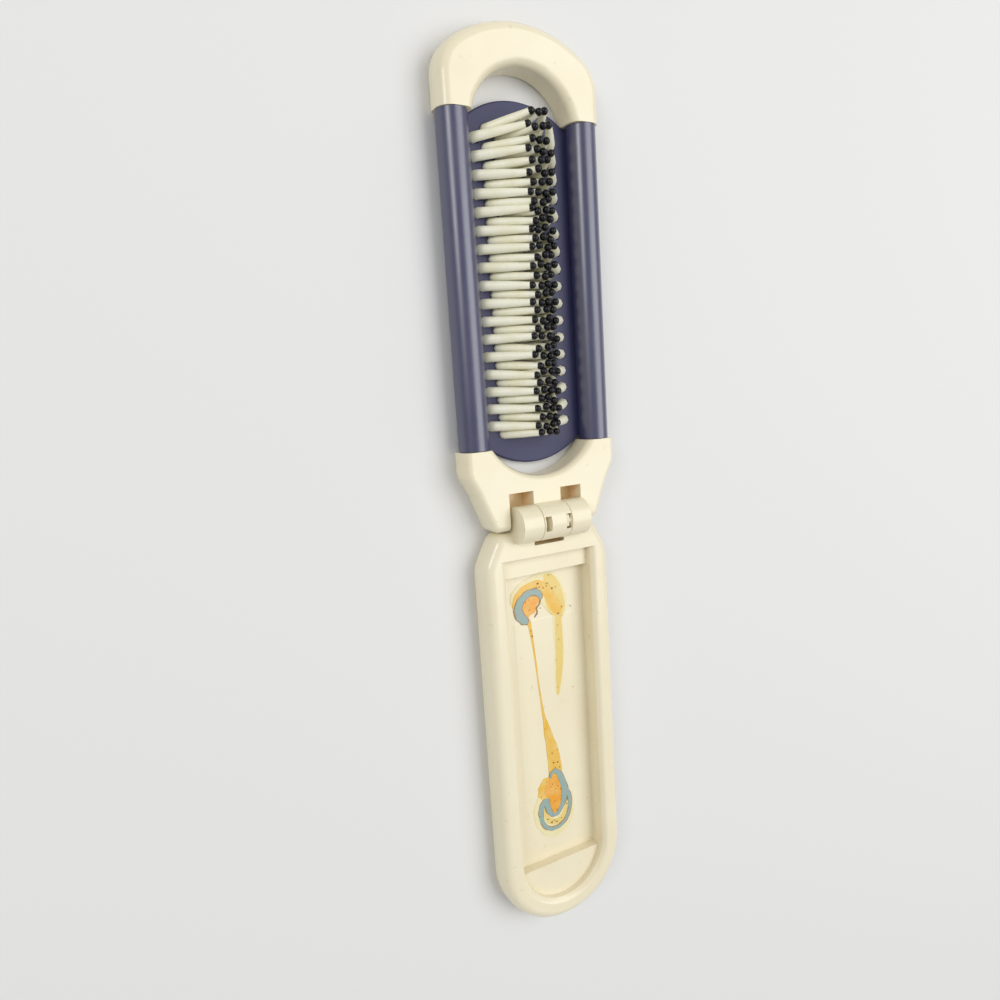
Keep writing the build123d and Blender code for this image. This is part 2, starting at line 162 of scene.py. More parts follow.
# The stage: lamps as name, place, size and power, and the camera as fitted to the photograph
LAMPS = (
    ("key", (0.58, 0.15, 0.95), (1.1, 0.9), 8.1),
    ("fill", (-0.70, 0.35, 0.60), (0.32, 0.32), 2.0),
)
FLOOR_SIZE = 6.0
FLOOR_COLOUR = (0.78, 0.78, 0.77)
FLOOR_ROUGHNESS = 0.7
ROOM_LIGHT = 0.45
LENS = 26.46
SENSOR_WIDTH = 36.0
NEAREST_SEEN = 0.01
EYE = Vector((-90.53, 32.80, 152.28)) * MM + Vector((0, HINGE.y, 0))
CAMERA_RIGHT = Vector((0.8746, -0.0639, 0.4806))
CAMERA_AHEAD = Vector((0.4668, -0.1575, -0.8702))


class BrushSizes(bpy.types.PropertyGroup):
    """Sizes of the brush that a user would change."""

    row_spacing: bpy.props.FloatProperty(
        name="Row spacing", description="Distance between two rows of pins",
        default=3.3 * MM, unit="LENGTH")
    rows_shift: bpy.props.FloatProperty(
        name="Rows' side shift", description="How far the rows stand off the middle",
        default=-1.0 * MM, unit="LENGTH")
    pin_pitch: bpy.props.FloatProperty(
        name="Pin pitch", description="Distance between two pins of a row",
        default=3.92 * MM, unit="LENGTH")
    pin_foot: bpy.props.FloatProperty(
        name="Pin foot radius", description="Radius of a pin at the plate",
        default=1.14 * MM, unit="LENGTH")
    pin_neck: bpy.props.FloatProperty(
        name="Pin neck radius", description="Radius of a pin below its ball",
        default=0.74 * MM, unit="LENGTH")
    tip_radius: bpy.props.FloatProperty(
        name="Ball radius", description="Radius of a ball tip",
        default=0.87 * MM, unit="LENGTH")
    tip_spacing: bpy.props.FloatProperty(
        name="Ball row spacing", description="Distance between two rows of ball tips",
        default=0.94 * MM, unit="LENGTH")
    tip_shift_low: bpy.props.FloatProperty(
        name="Ball shift at the yoke", description="How far the balls lean across at the yoke",
        default=0.3 * MM, unit="LENGTH")
    tip_shift_high: bpy.props.FloatProperty(
        name="Ball shift at the arch", description="How far the balls lean across at the arch",
        default=1.9 * MM, unit="LENGTH")
    top_fan: bpy.props.FloatProperty(
        name="Fan of the last pins", description="How far the pins by the arch lean towards it",
        default=3.0 * MM, unit="LENGTH")
    lean_spread: bpy.props.FloatProperty(
        name="Lean spread", description="How far a ball strays along its row",
        default=0.45 * MM, unit="LENGTH")
    seed: bpy.props.IntProperty(
        name="Seed", description="Seed of the pins' irregular lean", default=11, min=0)
    edge_softness: bpy.props.FloatProperty(
        name="Edge softness", description="Radius of the fine moulded edges",
        default=0.14 * MM, unit="LENGTH")
    glue_height: bpy.props.FloatProperty(
        name="Glue height", description="How far the dried glue stands on the pocket's floor",
        default=0.14 * MM, unit="LENGTH")


class BrushColours(bpy.types.PropertyGroup):
    """Colours of the brush, as linear values."""

    cream: bpy.props.FloatVectorProperty(
        name="Cream plastic", description="Arch, yoke and tray",
        subtype="COLOR", size=3, default=(0.88, 0.81, 0.60), min=0, max=1)
    yellowed: bpy.props.FloatVectorProperty(
        name="Yellowed plastic", description="Aged patches of the cream plastic",
        subtype="COLOR", size=3, default=(0.81, 0.70, 0.49), min=0, max=1)
    # Painted shade: the warm tan that is mixed into the cream where shade falls in the wells and
    # the slot
    tan: bpy.props.FloatVectorProperty(
        name="Painted well shade", description="Cream plastic down in the wells",
        subtype="COLOR", size=3, default=(0.95, 0.76, 0.49), min=0, max=1)
    navy: bpy.props.FloatVectorProperty(
        name="Navy plastic", description="Rails and plate",
        subtype="COLOR", size=3, default=(0.031, 0.032, 0.100), min=0, max=1)
    ivory: bpy.props.FloatVectorProperty(
        name="Ivory nylon", description="Pins",
        subtype="COLOR", size=3, default=(0.97, 0.95, 0.78), min=0, max=1)
    black: bpy.props.FloatVectorProperty(
        name="Black gloss", description="Ball tips",
        subtype="COLOR", size=3, default=(0.004, 0.004, 0.006), min=0, max=1)
    olive: bpy.props.FloatVectorProperty(
        name="Olive plastic", description="Hinge pin",
        subtype="COLOR", size=3, default=(0.86, 0.83, 0.62), min=0, max=1)
    amber: bpy.props.FloatVectorProperty(
        name="Amber glue", description="Dried glue",
        subtype="COLOR", size=3, default=(0.82, 0.48, 0.06), min=0, max=1)
    orange: bpy.props.FloatVectorProperty(
        name="Orange glue", description="Thick middle of the dried glue",
        subtype="COLOR", size=3, default=(0.85, 0.38, 0.04), min=0, max=1)
    slate: bpy.props.FloatVectorProperty(
        name="Blue-grey glue", description="Rings of the dried glue",
        subtype="COLOR", size=3, default=(0.30, 0.43, 0.40), min=0, max=1)
    straw: bpy.props.FloatVectorProperty(
        name="Straw glue", description="Thin pale glue",
        subtype="COLOR", size=3, default=(0.81, 0.63, 0.22), min=0, max=1)
    stain: bpy.props.FloatVectorProperty(
        name="Glue stain", description="Faint stain round the glue",
        subtype="COLOR", size=3, default=(0.83, 0.75, 0.43), min=0, max=1)
    # Partly painted shadow: this dark umber outlines the blue-grey rings in place of their shade,
    # and also colours a real crack
    umber_and_shadow: bpy.props.FloatVectorProperty(
        name="Umber glue and painted shadow", description="Dark edge of the blue-grey rings",
        subtype="COLOR", size=3, default=(0.34, 0.19, 0.07), min=0, max=1)
    dirt: bpy.props.FloatVectorProperty(
        name="Dirt", description="Specks caught in the glue",
        subtype="COLOR", size=3, default=(0.14, 0.08, 0.03), min=0, max=1)
    soot: bpy.props.FloatVectorProperty(
        name="Soot", description="Specks caught in the blue-grey glue",
        subtype="COLOR", size=3, default=(0.10, 0.09, 0.08), min=0, max=1)


# Helpers


def sizes():
    return bpy.context.scene.brush_sizes


def colours():
    return bpy.context.scene.brush_colours


def pick_none():
    """Deselect everything, because an operator acts on all that is selected."""
    if bpy.context.mode != "OBJECT":
        bpy.ops.object.mode_set(mode="OBJECT")
    bpy.ops.object.select_all(action="DESELECT")


def pick(*objs):
    """Select only these objects; the last one is active."""
    pick_none()
    for obj in objs:
        obj.select_set(True)
        bpy.context.view_layer.objects.active = obj


def settle(obj):
    """Put an object's place into its mesh, so that the object sits at the origin."""
    pick(obj)
    bpy.ops.object.transform_apply(location=True, rotation=True, scale=True)


def apply_modifiers(obj):
    """Apply all of an object's modifiers, in their order."""
    pick(obj)
    for modifier in list(obj.modifiers):
        bpy.ops.object.modifier_apply(modifier=modifier.name)


def smooth(obj, degrees):
    """Smooth shading that keeps the real edges, with normals weighted by the large faces."""
    pick(obj)
    bpy.ops.object.shade_smooth_by_angle(angle=math.radians(degrees))
    weighted = obj.modifiers.new("Weighted", "WEIGHTED_NORMAL")
    weighted.keep_sharp = True
    weighted.weight = FACE_WEIGHT
    apply_modifiers(obj)


def own_copy(pattern):
    """A copy of an object with its own mesh, in the scene."""
    obj = pattern.copy()
    obj.data = pattern.data.copy()
    bpy.context.scene.collection.objects.link(obj)
    return obj


def join(objs, name):
    """Make these objects one piece with this name."""
    pick(*objs)
    bpy.ops.object.join()
    made = bpy.context.view_layer.objects.active
    made.name = name
    made.data.name = name
    return made


def paint(data, material):
    """Give a mesh this material alone."""
    data.materials.clear()
    data.materials.append(material)


def dress(obj, body, slot, material, *nodes):
    """Give a finished piece its material and its body, and hide the nodes it stands for; its slot
    is not used.
    """
    paint(obj.data, material)
    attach(obj, body)
    if nodes:
        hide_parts(*nodes)


def moulded_copy(node, name, softness):
    """A merged copy of a CAD piece with its fine edges rounded as a mould leaves them."""
    obj = bpy.data.objects.new(name, frame["nodes"][node].data.copy())
    bpy.context.scene.collection.objects.link(obj)
    pick(obj)
    bpy.ops.object.mode_set(mode="EDIT")
    bpy.ops.mesh.customdata_custom_splitnormals_clear()
    bpy.ops.mesh.select_all(action="SELECT")
    bpy.ops.mesh.remove_doubles(threshold=MERGE_DISTANCE)
    bpy.ops.mesh.dissolve_limited(angle_limit=FLAT_ANGLE)
    bpy.ops.object.mode_set(mode="OBJECT")
    bevel = obj.modifiers.new("Soft edges", "BEVEL")
    bevel.limit_method = "ANGLE"
    bevel.angle_limit = EDGE_ANGLE
    bevel.width = softness
    bevel.segments = 2
    bevel.use_clamp_overlap = True
    bevel.miter_outer = "MITER_ARC"
    apply_modifiers(obj)
    smooth(obj, MOULDED_ANGLE)
    return obj


# Materials


def add_node(tree, kind, place, **values):
    """A new node at its place in the editor, with its settings."""
    node = tree.nodes.new(kind)
    node.location = place
    for key, value in values.items():
        setattr(node, key, value)
    return node


def fill(node, values):
    """Set a node's sockets, given by their names."""
    for label, value in values.items():
        node.inputs[label].default_value = value


def calculate(tree, operation, place, *values):
    """The output of a Math node that works on these sockets or numbers."""
    node = add_node(tree, "ShaderNodeMath", place, operation=operation)
    for socket, value in zip(node.inputs, values):
        if isinstance(value, float):
            socket.default_value = value
        else:
            tree.links.new(value, socket)
    return node.outputs[0]


def aged_surface():
    """Shared group: aged patches, fine specks and a grain height for a moulded surface."""
    name = "Aged surface"
    if name in bpy.data.node_groups:
        return bpy.data.node_groups[name]
    group = bpy.data.node_groups.new(name, "ShaderNodeTree")
    for direction, kind, labels in (
            ("INPUT", "Vector", ("Vector",)),
            ("INPUT", "Color", ("Base", "Aged", "Speck")),
            ("INPUT", "Float", (
                "Patch scale", "Patch amount", "Speck scale", "Speck amount", "Grain scale")),
            ("OUTPUT", "Color", ("Color",)),
            ("OUTPUT", "Float", ("Mask", "Height"))):
        for label in labels:
            group.interface.new_socket(
                label, in_out=direction, socket_type=f"NodeSocket{kind}")
    inputs = add_node(group, "NodeGroupInput", (-900, 0))
    outputs = add_node(group, "NodeGroupOutput", (700, 0))
    patch = add_node(group, "ShaderNodeTexNoise", (-600, 200))
    fill(patch, {"Detail": 4, "Roughness": 0.6})
    patch_range = add_node(group, "ShaderNodeMapRange", (-400, 200))
    fill(patch_range, {"From Min": 0.42, "From Max": 0.72})
    speck = add_node(group, "ShaderNodeTexNoise", (-600, -100))
    fill(speck, {"Detail": 1})
    speck_range = add_node(group, "ShaderNodeMapRange", (-400, -100))
    fill(speck_range, {"From Min": 0.72, "From Max": 0.77})
    grain = add_node(group, "ShaderNodeTexNoise", (-600, -400))
    fill(grain, {"Detail": 2})
    link = group.links.new
    for noise, scale in ((patch, "Patch scale"), (speck, "Speck scale"), (grain, "Grain scale")):
        link(inputs.outputs["Vector"], noise.inputs["Vector"])
        link(inputs.outputs[scale], noise.inputs["Scale"])
    below = inputs.outputs["Base"]
    for noise, span, amount, colour, height in (
            (patch, patch_range, "Patch amount", "Aged", 200),
            (speck, speck_range, "Speck amount", "Speck", -100)):
        link(noise.outputs["Fac"], span.inputs["Value"])
        share = calculate(
            group, "MULTIPLY", (-200, height), span.outputs["Result"], inputs.outputs[amount])
        mix = add_node(group, "ShaderNodeMix", (100, height), data_type="RGBA")
        link(share, mix.inputs["Factor"])
        link(below, mix.inputs["A"])
        link(inputs.outputs[colour], mix.inputs["B"])
        below = mix.outputs["Result"]
    link(below, outputs.inputs["Color"])
    link(patch_range.outputs["Result"], outputs.inputs["Mask"])
    link(grain.outputs["Fac"], outputs.inputs["Height"])
    return group


def moulded_material(
        name, base, aged, speck, *, roughness, spread, patches, specks, patch_scale,
        speck_scale, grain_scale, bump, specular=0.5, coat=0.0):
    """A moulded plastic: the shared aged surface, a roughness that varies, and a fine bump."""
    if name in bpy.data.materials:
        return bpy.data.materials[name]
    material = bpy.data.materials.new(name)
    material.use_nodes = True
    tree = material.node_tree
    shader = tree.nodes["Principled BSDF"]
    fill(shader, {"Specular IOR Level": specular, "Coat Weight": coat})
    coordinates = add_node(tree, "ShaderNodeTexCoord", (-900, 0), name="Coordinates")
    group = add_node(
        tree, "ShaderNodeGroup", (-600, 0), node_tree=aged_surface(), name="Aged plastic")
    fill(group, {
        "Base": (*base, 1), "Aged": (*aged, 1), "Speck": (*speck, 1),
        "Patch amount": patches, "Speck amount": specks,
        "Patch scale": patch_scale, "Speck scale": speck_scale, "Grain scale": grain_scale})
    rough = add_node(tree, "ShaderNodeMapRange", (-300, -150))
    fill(rough, {"To Min": roughness - spread, "To Max": roughness + spread})
    bumps = add_node(tree, "ShaderNodeBump", (-300, -400))
    fill(bumps, {"Strength": bump, "Distance": 0.05 * MM})
    link = tree.links.new
    link(coordinates.outputs["Object"], group.inputs["Vector"])
    link(group.outputs["Color"], shader.inputs["Base Color"])
    link(group.outputs["Mask"], rough.inputs["Value"])
    link(rough.outputs["Result"], shader.inputs["Roughness"])
    link(group.outputs["Height"], bumps.inputs["Height"])
    link(bumps.outputs["Normal"], shader.inputs["Normal"])
    return material


def painted_shade_mask(tree):
    """A mask of painted shade that is 1 on the walls of the yoke's wells and of the tray's slot.
    """
    spot = add_node(tree, "ShaderNodeSeparateXYZ", (-1300, 500))
    tree.links.new(tree.nodes["Coordinates"].outputs["Object"], spot.inputs["Vector"])
    x, y, z = spot.outputs
    along = calculate(tree, "SUBTRACT", (-1100, 500), y, HINGE.y)
    above = calculate(tree, "SUBTRACT", (-1100, 300), z, HINGE.z)
    squares = [
        calculate(tree, "MULTIPLY", (-900, 300), value, value) for value in (along, above)]
    off_axis = calculate(
        tree, "SQRT", (-500, 300), calculate(tree, "ADD", (-700, 300), *squares))
    # The tray's slot is narrow, and the yoke's wells reach out as far as the barrel does
    half_width = add_node(tree, "ShaderNodeMapRange", (-900, 700))
    tree.links.new(along, half_width.inputs["Value"])
    fill(half_width, {
        "From Min": -WIDTH_BLEND, "From Max": WIDTH_BLEND,
        "To Min": SLOT_HALF_WIDTH, "To Max": WELLS_HALF_WIDTH})
    side = calculate(tree, "ABSOLUTE", (-900, 900), x)
    past_side = calculate(tree, "SUBTRACT", (-700, 700), side, half_width.outputs["Result"])
    distance = calculate(tree, "ABSOLUTE", (-900, 500), along)
    mask = 1.0
    for value, (none, full) in (
            (z, SHADE_TOP), (z, SHADE_BOTTOM), (distance, SHADE_END), (off_axis, SHADE_BARREL),
            (past_side, SHADE_SIDE)):
        fade = add_node(
            tree, "ShaderNodeMapRange", (-300, 500), interpolation_type="SMOOTHSTEP")
        fill(fade, {"From Min": none * MM, "From Max": full * MM})
        tree.links.new(value, fade.inputs["Value"])
        mask = calculate(tree, "MULTIPLY", (0, 500), fade.outputs["Result"], mask)
    return mask


def cream_material():
    """Aged cream plastic, with a painted warm shade of tan down in the wells and the slot by the
    hinge.
    """
    c = colours()
    name = "Cream plastic"
    if name in bpy.data.materials:
        return bpy.data.materials[name]
    material = moulded_material(
        name, c.cream, c.yellowed, (0.42, 0.30, 0.16), roughness=0.24, spread=0.05,
        patches=0.5, specks=0.14, patch_scale=38.0, speck_scale=560.0, grain_scale=2600.0,
        bump=0.10)
    tree = material.node_tree
    link = tree.links.new
    mask = painted_shade_mask(tree)
    # Painted shade: the mask mixes the tan into the cream, and gives the same place some
    # subsurface
    mix = add_node(tree, "ShaderNodeMix", (200, 300), data_type="RGBA")
    link(mask, mix.inputs["Factor"])
    link(tree.nodes["Aged plastic"].outputs["Color"], mix.inputs["A"])
    mix.inputs["B"].default_value = (*c.tan, 1)
    shader = tree.nodes["Principled BSDF"]
    link(mix.outputs["Result"], shader.inputs["Base Color"])
    glow = calculate(tree, "MULTIPLY", (200, 600), mask, SHADE_SUBSURFACE)
    link(glow, shader.inputs["Subsurface Weight"])
    fill(shader, {"Subsurface Radius": (1.0, 0.75, 0.45), "Subsurface Scale": 3.0 * MM})
    return material


def navy_material(name, roughness, specular, coat):
    """Navy plastic with a fine grain."""
    material = moulded_material(
        name, colours().navy, (0.045, 0.046, 0.115), (0.17, 0.18, 0.26), roughness=roughness,
        spread=0.04, patches=0.6, specks=0.30, patch_scale=80.0, speck_scale=3200.0,
        grain_scale=5200.0, bump=0.45, specular=specular, coat=coat)
    fill(material.node_tree.nodes["Principled BSDF"], {"Coat Roughness": 0.3})
    return material


def ivory_material():
    return moulded_material(
        "Ivory nylon", colours().ivory, (0.88, 0.85, 0.60), (0.55, 0.52, 0.32),
        roughness=0.36, spread=0.06, patches=0.8, specks=0.3, patch_scale=260.0,
        speck_scale=1800.0, grain_scale=2600.0, bump=0.08)


def black_material():
    return moulded_material(
        "Black gloss", colours().black, (0.010, 0.010, 0.012), (0.05, 0.05, 0.05),
        roughness=0.10, spread=0.03, patches=0.5, specks=0.2, patch_scale=300.0,
        speck_scale=1500.0, grain_scale=2500.0, bump=0.05, specular=0.35)


def olive_material():
    return moulded_material(
        "Olive pin", colours().olive, (0.80, 0.76, 0.52), (0.4, 0.32, 0.2),
        roughness=0.40, spread=0.06, patches=0.6, specks=0.3, patch_scale=200.0,
        speck_scale=1400.0, grain_scale=2600.0, bump=0.15)


def glue_material(name, base, aged, speck, specks, roughness):
    """Dried glue: a brittle film of uneven depth, with dirt caught in it."""
    return moulded_material(
        name, base, aged, speck, roughness=roughness, spread=0.08, patches=0.9, specks=specks,
        patch_scale=330.0, speck_scale=1150.0, grain_scale=1500.0, bump=0.35)


# Pieces


class BRUSH_OT_frame(bpy.types.Operator):
    """Make the arch and the two rails"""

    bl_idname = "brush.make_frame"
    bl_label = "Arch and rails"

    def execute(self, context):
        arch = moulded_copy("top_arch", "arch_shell", sizes().edge_softness)
        dress(arch, "head", "cream_plastic", cream_material(), "top_arch")
        glossy = navy_material("Navy plastic", 0.34, 0.95, 0.8)
        for node, name in (("left_rail", "rail_left_rod"), ("right_rail", "rail_right_rod")):
            rod = moulded_copy(node, name, RAIL_SOFTNESS)
            dress(rod, "head", "navy_plastic", glossy, node)
        return {"FINISHED"}


class BRUSH_OT_plate(bpy.types.Operator):
    """Finish the plate of pins and its back cover"""

    bl_idname = "brush.make_plate"
    bl_label = "Plate and back cover"

    def execute(self, context):
        plate = moulded_copy("base_plate", "plate_shell", PLATE_SOFTNESS)
        dull = navy_material("Dull navy plastic", 0.45, 0.42, 0.0)
        dress(plate, "head", "navy_plastic", dull, "base_plate")
        paint(frame["nodes"]["back_cover"].data, dull)
        return {"FINISHED"}


def row_places(row):
    """Where one row's pins stand along the brush; an odd row has one pin less."""
    low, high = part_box(f"bristle_row_{row}")
    middle = (low.y + high.y) / 2
    count = PINS_IN_LONG_ROW - row % 2
    pitch = sizes().pin_pitch
    return [middle + pitch * (step - (count - 1) / 2) for step in range(count)]


def model_pin():
    """One upright pin of unit height: a tapered stem on a short collar, with rings to bend at."""
    s = sizes()
    pick_none()
    bpy.ops.mesh.primitive_cone_add(
        vertices=8, radius1=s.pin_foot, radius2=s.pin_neck, depth=1.0, end_fill_type="NGON",
        location=(0, 0, 0.5))
    pin = bpy.context.active_object
    pin.name = "pin_pattern"
    bpy.ops.object.mode_set(mode="EDIT")
    for share in PIN_RINGS:
        bpy.ops.mesh.select_all(action="SELECT")
        bpy.ops.mesh.bisect(plane_co=(0, 0, share), plane_no=(0, 0, 1))
    bpy.ops.mesh.select_all(action="DESELECT")
    bpy.ops.object.mode_set(mode="OBJECT")
    for vertex in pin.data.vertices:
        vertex.select = vertex.co.z < COLLAR_SHARE
    bpy.ops.object.mode_set(mode="EDIT")
    bpy.ops.transform.resize(
        value=(COLLAR_WIDTH, COLLAR_WIDTH, 1.0), center_override=(0, 0, 0))
    bpy.ops.object.mode_set(mode="OBJECT")
    settle(pin)
    return pin


def model_ball():
    """One ball tip: a ball of few faces, a little oval, as dipping leaves it."""
    pick_none()
    bpy.ops.mesh.primitive_ico_sphere_add(
        subdivisions=2, radius=sizes().tip_radius, location=(0, 0, 0))
    ball = bpy.context.active_object
    ball.name = "ball_pattern"
    bpy.ops.transform.resize(value=(1.0, 1.0, BALL_STRETCH))
    settle(ball)
    return ball


def place_pin(pattern, foot, knee, tip):
    """A copy of the pin pattern whose rings run from the foot, round the knee, to the tip."""
    pin = own_copy(pattern)
    upright = Vector((0, 0, 1))
    lean = (tip - knee).normalized()
    for vertex in pin.data.vertices:
        share = vertex.co.z
        if share < KNEE_SHARE:
            centre = foot.lerp(knee, min(1.0, share / KNEE_SHARE))
        else:
            centre = knee.lerp(tip, (share - KNEE_SHARE) / (1 - KNEE_SHARE))
        turn = min(1.0, max(0.0, (share - TURN_START) / TURN_START))
        tilt = upright.rotation_difference(upright.lerp(lean, turn).normalized())
        vertex.co = centre + tilt @ Vector((vertex.co.x, vertex.co.y, 0))
    return pin


def place_ball(pattern, knee, tip):
    """A copy of the ball pattern on a pin's tip, turned to the pin's lean."""
    ball = own_copy(pattern)
    tilt = Vector((0, 0, 1)).rotation_difference((tip - knee).normalized())
    ball.data.transform(Matrix.Translation(tip) @ tilt.to_matrix().to_4x4())
    return ball


def tip_place(row, y, low, high, dice):
    """Where a pin's ball lies: the rows lean in, and the last pins by the arch fan out."""
    s = sizes()
    off_middle = abs(row - MIDDLE_ROW) / (MIDDLE_ROW - 1)
    along = (y - low) / (high - low)
    shift = s.tip_shift_low + along * (s.tip_shift_high - s.tip_shift_low)
    x = (row - MIDDLE_ROW) * s.tip_spacing + shift
    x += dice.uniform(-SIDE_STRAY, SIDE_STRAY) * MM
    fan = s.top_fan * math.exp((y - high) / (FAN_REACH * MM))
    lean = fan - LEAN_BACK * MM + dice.uniform(-1, 1) * s.lean_spread
    stray = dice.uniform(-RISE_STRAY, RISE_STRAY)
    rise = (BALL_RISE - OUTER_ROW_DROP * off_middle + stray) * MM
    # A pin that leans further ends lower, because its length stays the same
    return Vector((x, y + lean, PLATE_TOP + rise - lean * lean / (2 * rise)))


class BRUSH_OT_pins(bpy.types.Operator):
    """Make the seven rows of pins and their ball tips"""

    bl_idname = "brush.make_pins"
    bl_label = "Pins and ball tips"

    def execute(self, context):
        s = sizes()
        dice = random.Random(s.seed)
        pin_pattern, ball_pattern = model_pin(), model_ball()
        places = row_places(LONG_ROW)
        low, high = places[0], places[-1]
        for row in range(1, ROWS + 1):
            x = s.rows_shift + (row - MIDDLE_ROW) * s.row_spacing
            pins, balls = [], []
            for y in row_places(row):
                foot = Vector((x, y, PLATE_LOW + FOOT_RISE))
                knee = Vector((x, y, PLATE_TOP + KNEE_RISE))
                tip = tip_place(row, y, low, high, dice)
                pins.append(place_pin(pin_pattern, foot, knee, tip))
                balls.append(place_ball(ball_pattern, knee, tip))
            stems = join(pins, f"pin_row_{row}")
            smooth(stems, ROUND_ANGLE)
            dress(stems, "head", "ivory_nylon", ivory_material(), f"bristle_row_{row}")
            tips = join(balls, f"ball_row_{row}")
            pick(tips)
            bpy.ops.object.shade_smooth()
            dress(tips, "head", "black_gloss", black_material(), f"tip_row_{row}")
        for pattern in (pin_pattern, ball_pattern):
            bpy.data.objects.remove(pattern)
        return {"FINISHED"}


class BRUSH_OT_yoke(bpy.types.Operator):
    """Make the yoke with its middle knuckle"""

    bl_idname = "brush.make_yoke"
    bl_label = "Yoke"

    def execute(self, context):
        yoke = moulded_copy("yoke", "yoke_shell", sizes().edge_softness)
        dress(yoke, "head", "cream_plastic", cream_material(), "yoke")
        return {"FINISHED"}


class BRUSH_OT_tray(bpy.types.Operator):
    """Make the tray handle and its detent nub, and finish the hinge pin"""

    bl_idname = "brush.make_tray"
    bl_label = "Tray handle"

    def execute(self, context):
        tray = moulded_copy("handle", "tray_shell", sizes().edge_softness)
        dress(tray, "handle", "cream_plastic", cream_material(), "handle")
        pick_none()
        bpy.ops.mesh.primitive_cube_add(size=1, location=HINGE + NUB_PLACE)
        nub = context.active_object
        nub.name = "detent_nub"
        nub.scale = NUB_SIZE
        settle(nub)
        bpy.ops.object.mode_set(mode="EDIT")
        bpy.ops.mesh.select_all(action="SELECT")
        bpy.ops.mesh.bevel(offset=NUB_ROUNDING, segments=4, affect="EDGES")
        bpy.ops.object.mode_set(mode="OBJECT")
        smooth(nub, NUB_ANGLE)
        dress(nub, "handle", "cream_plastic", cream_material())
        paint(frame["nodes"]["hinge_pin"].data, olive_material())
        return {"FINISHED"}


def place_on_floor(x, y, rise=0.0):
    """A point of the pocket's floor, given in millimetres from the hinge axis."""
    return Vector((x * MM, HINGE.y + y * MM, POCKET_FLOOR + rise))


class BRUSH_OT_floor_panel(bpy.types.Operator):
    """Make the faint raised panel on the floor of the tray's pocket"""

    bl_idname = "brush.make_floor_panel"
    bl_label = "Pocket panel"

    def execute(self, context):
        low, high = place_on_floor(*PANEL_LOW), place_on_floor(*PANEL_HIGH)
        pick_none()
        bpy.ops.mesh.primitive_plane_add(
            size=1, location=(low + high) / 2 + Vector((0, 0, PANEL_LIFT)))
        panel = context.active_object
        panel.name = "pocket_panel"
        panel.scale = (high.x - low.x, high.y - low.y, 1)
        settle(panel)
        bpy.ops.object.mode_set(mode="EDIT")
        bpy.ops.mesh.select_all(action="SELECT")
        bpy.ops.mesh.inset(thickness=PANEL_SLOPE, depth=PANEL_RISE)
        bpy.ops.object.mode_set(mode="OBJECT")
        dress(panel, "handle", "cream_plastic", cream_material())
        return {"FINISHED"}


def puddle(name, outline, height, ragged=RAGGED):
    """A flat dried puddle with a rounded, ragged rim; its name seeds the raggedness."""
    dice = random.Random(name)
    curve = bpy.data.curves.new(name, "CURVE")
    curve.dimensions = "2D"
    curve.fill_mode = "BOTH"
    curve.extrude = height * FLAT_SHARE
    curve.bevel_depth = height * ROUND_SHARE
    curve.bevel_resolution = 2
    curve.offset = -height * ROUND_SHARE
    curve.resolution_u = 4
    rim = []
    for (x, y), (next_x, next_y) in zip(outline, outline[1:] + outline[:1]):
        rim += [(x, y), ((x + next_x) / 2, (y + next_y) / 2)]
    spline = curve.splines.new("NURBS")
    spline.points.add(len(rim) - 1)
    for point, (x, y) in zip(spline.points, rim):
        stray = Vector((dice.uniform(-ragged, ragged), dice.uniform(-ragged, ragged))) * MM
        point.co = (*(place_on_floor(x, y).xy + stray), 0, 1)
    spline.use_cyclic_u = True
    spline.order_u = 3
    obj = bpy.data.objects.new(name, curve)
    bpy.context.scene.collection.objects.link(obj)
    obj.location.z = POCKET_FLOOR + PANEL_RISE
    pick(obj)
    bpy.ops.object.convert(target="MESH")
    settle(obj)
    smooth(obj, ROUND_ANGLE)
    return obj


def streak(name, path, height, spread=0.0):
    """A run of dried glue along a path, whose points carry its half width."""
    left, right = [], []
    for step, (x, y, half_width) in enumerate(path):
        before, after = path[max(step - 1, 0)], path[min(step + 1, len(path) - 1)]
        along = Vector((after[0] - before[0], after[1] - before[1])).normalized()
        reach = half_width + spread
        left.append((x - along.y * reach, y + along.x * reach))
        right.append((x + along.y * reach, y - along.x * reach))
    thinnest = min(half_width for x, y, half_width in path) + spread
    ragged = min(RAGGED, thinnest * RAGGED_SHARE)
    return puddle(name, left + right[::-1], height, ragged)


def dirt_specks(spots):
    """Dark specks caught in the glue: low seven-sided dabs."""
    specks = []
    for x, y, share in spots:
        pick_none()
        bpy.ops.mesh.primitive_cylinder_add(
            vertices=7, radius=SPECK_RADIUS * share * MM, depth=SPECK_DEPTH * MM,
            location=place_on_floor(x, y, SPECK_RISE * MM))
        speck = bpy.context.active_object
        bpy.ops.object.mode_set(mode="EDIT")
        bpy.ops.mesh.select_all(action="SELECT")
        bpy.ops.mesh.bevel(offset=SPECK_ROUNDING * MM, segments=1, affect="EDGES")
        bpy.ops.transform.resize(value=SPECK_STRETCH)
        bpy.ops.object.mode_set(mode="OBJECT")
        settle(speck)
        specks.append(speck)
    return join(specks, "glue_specks")


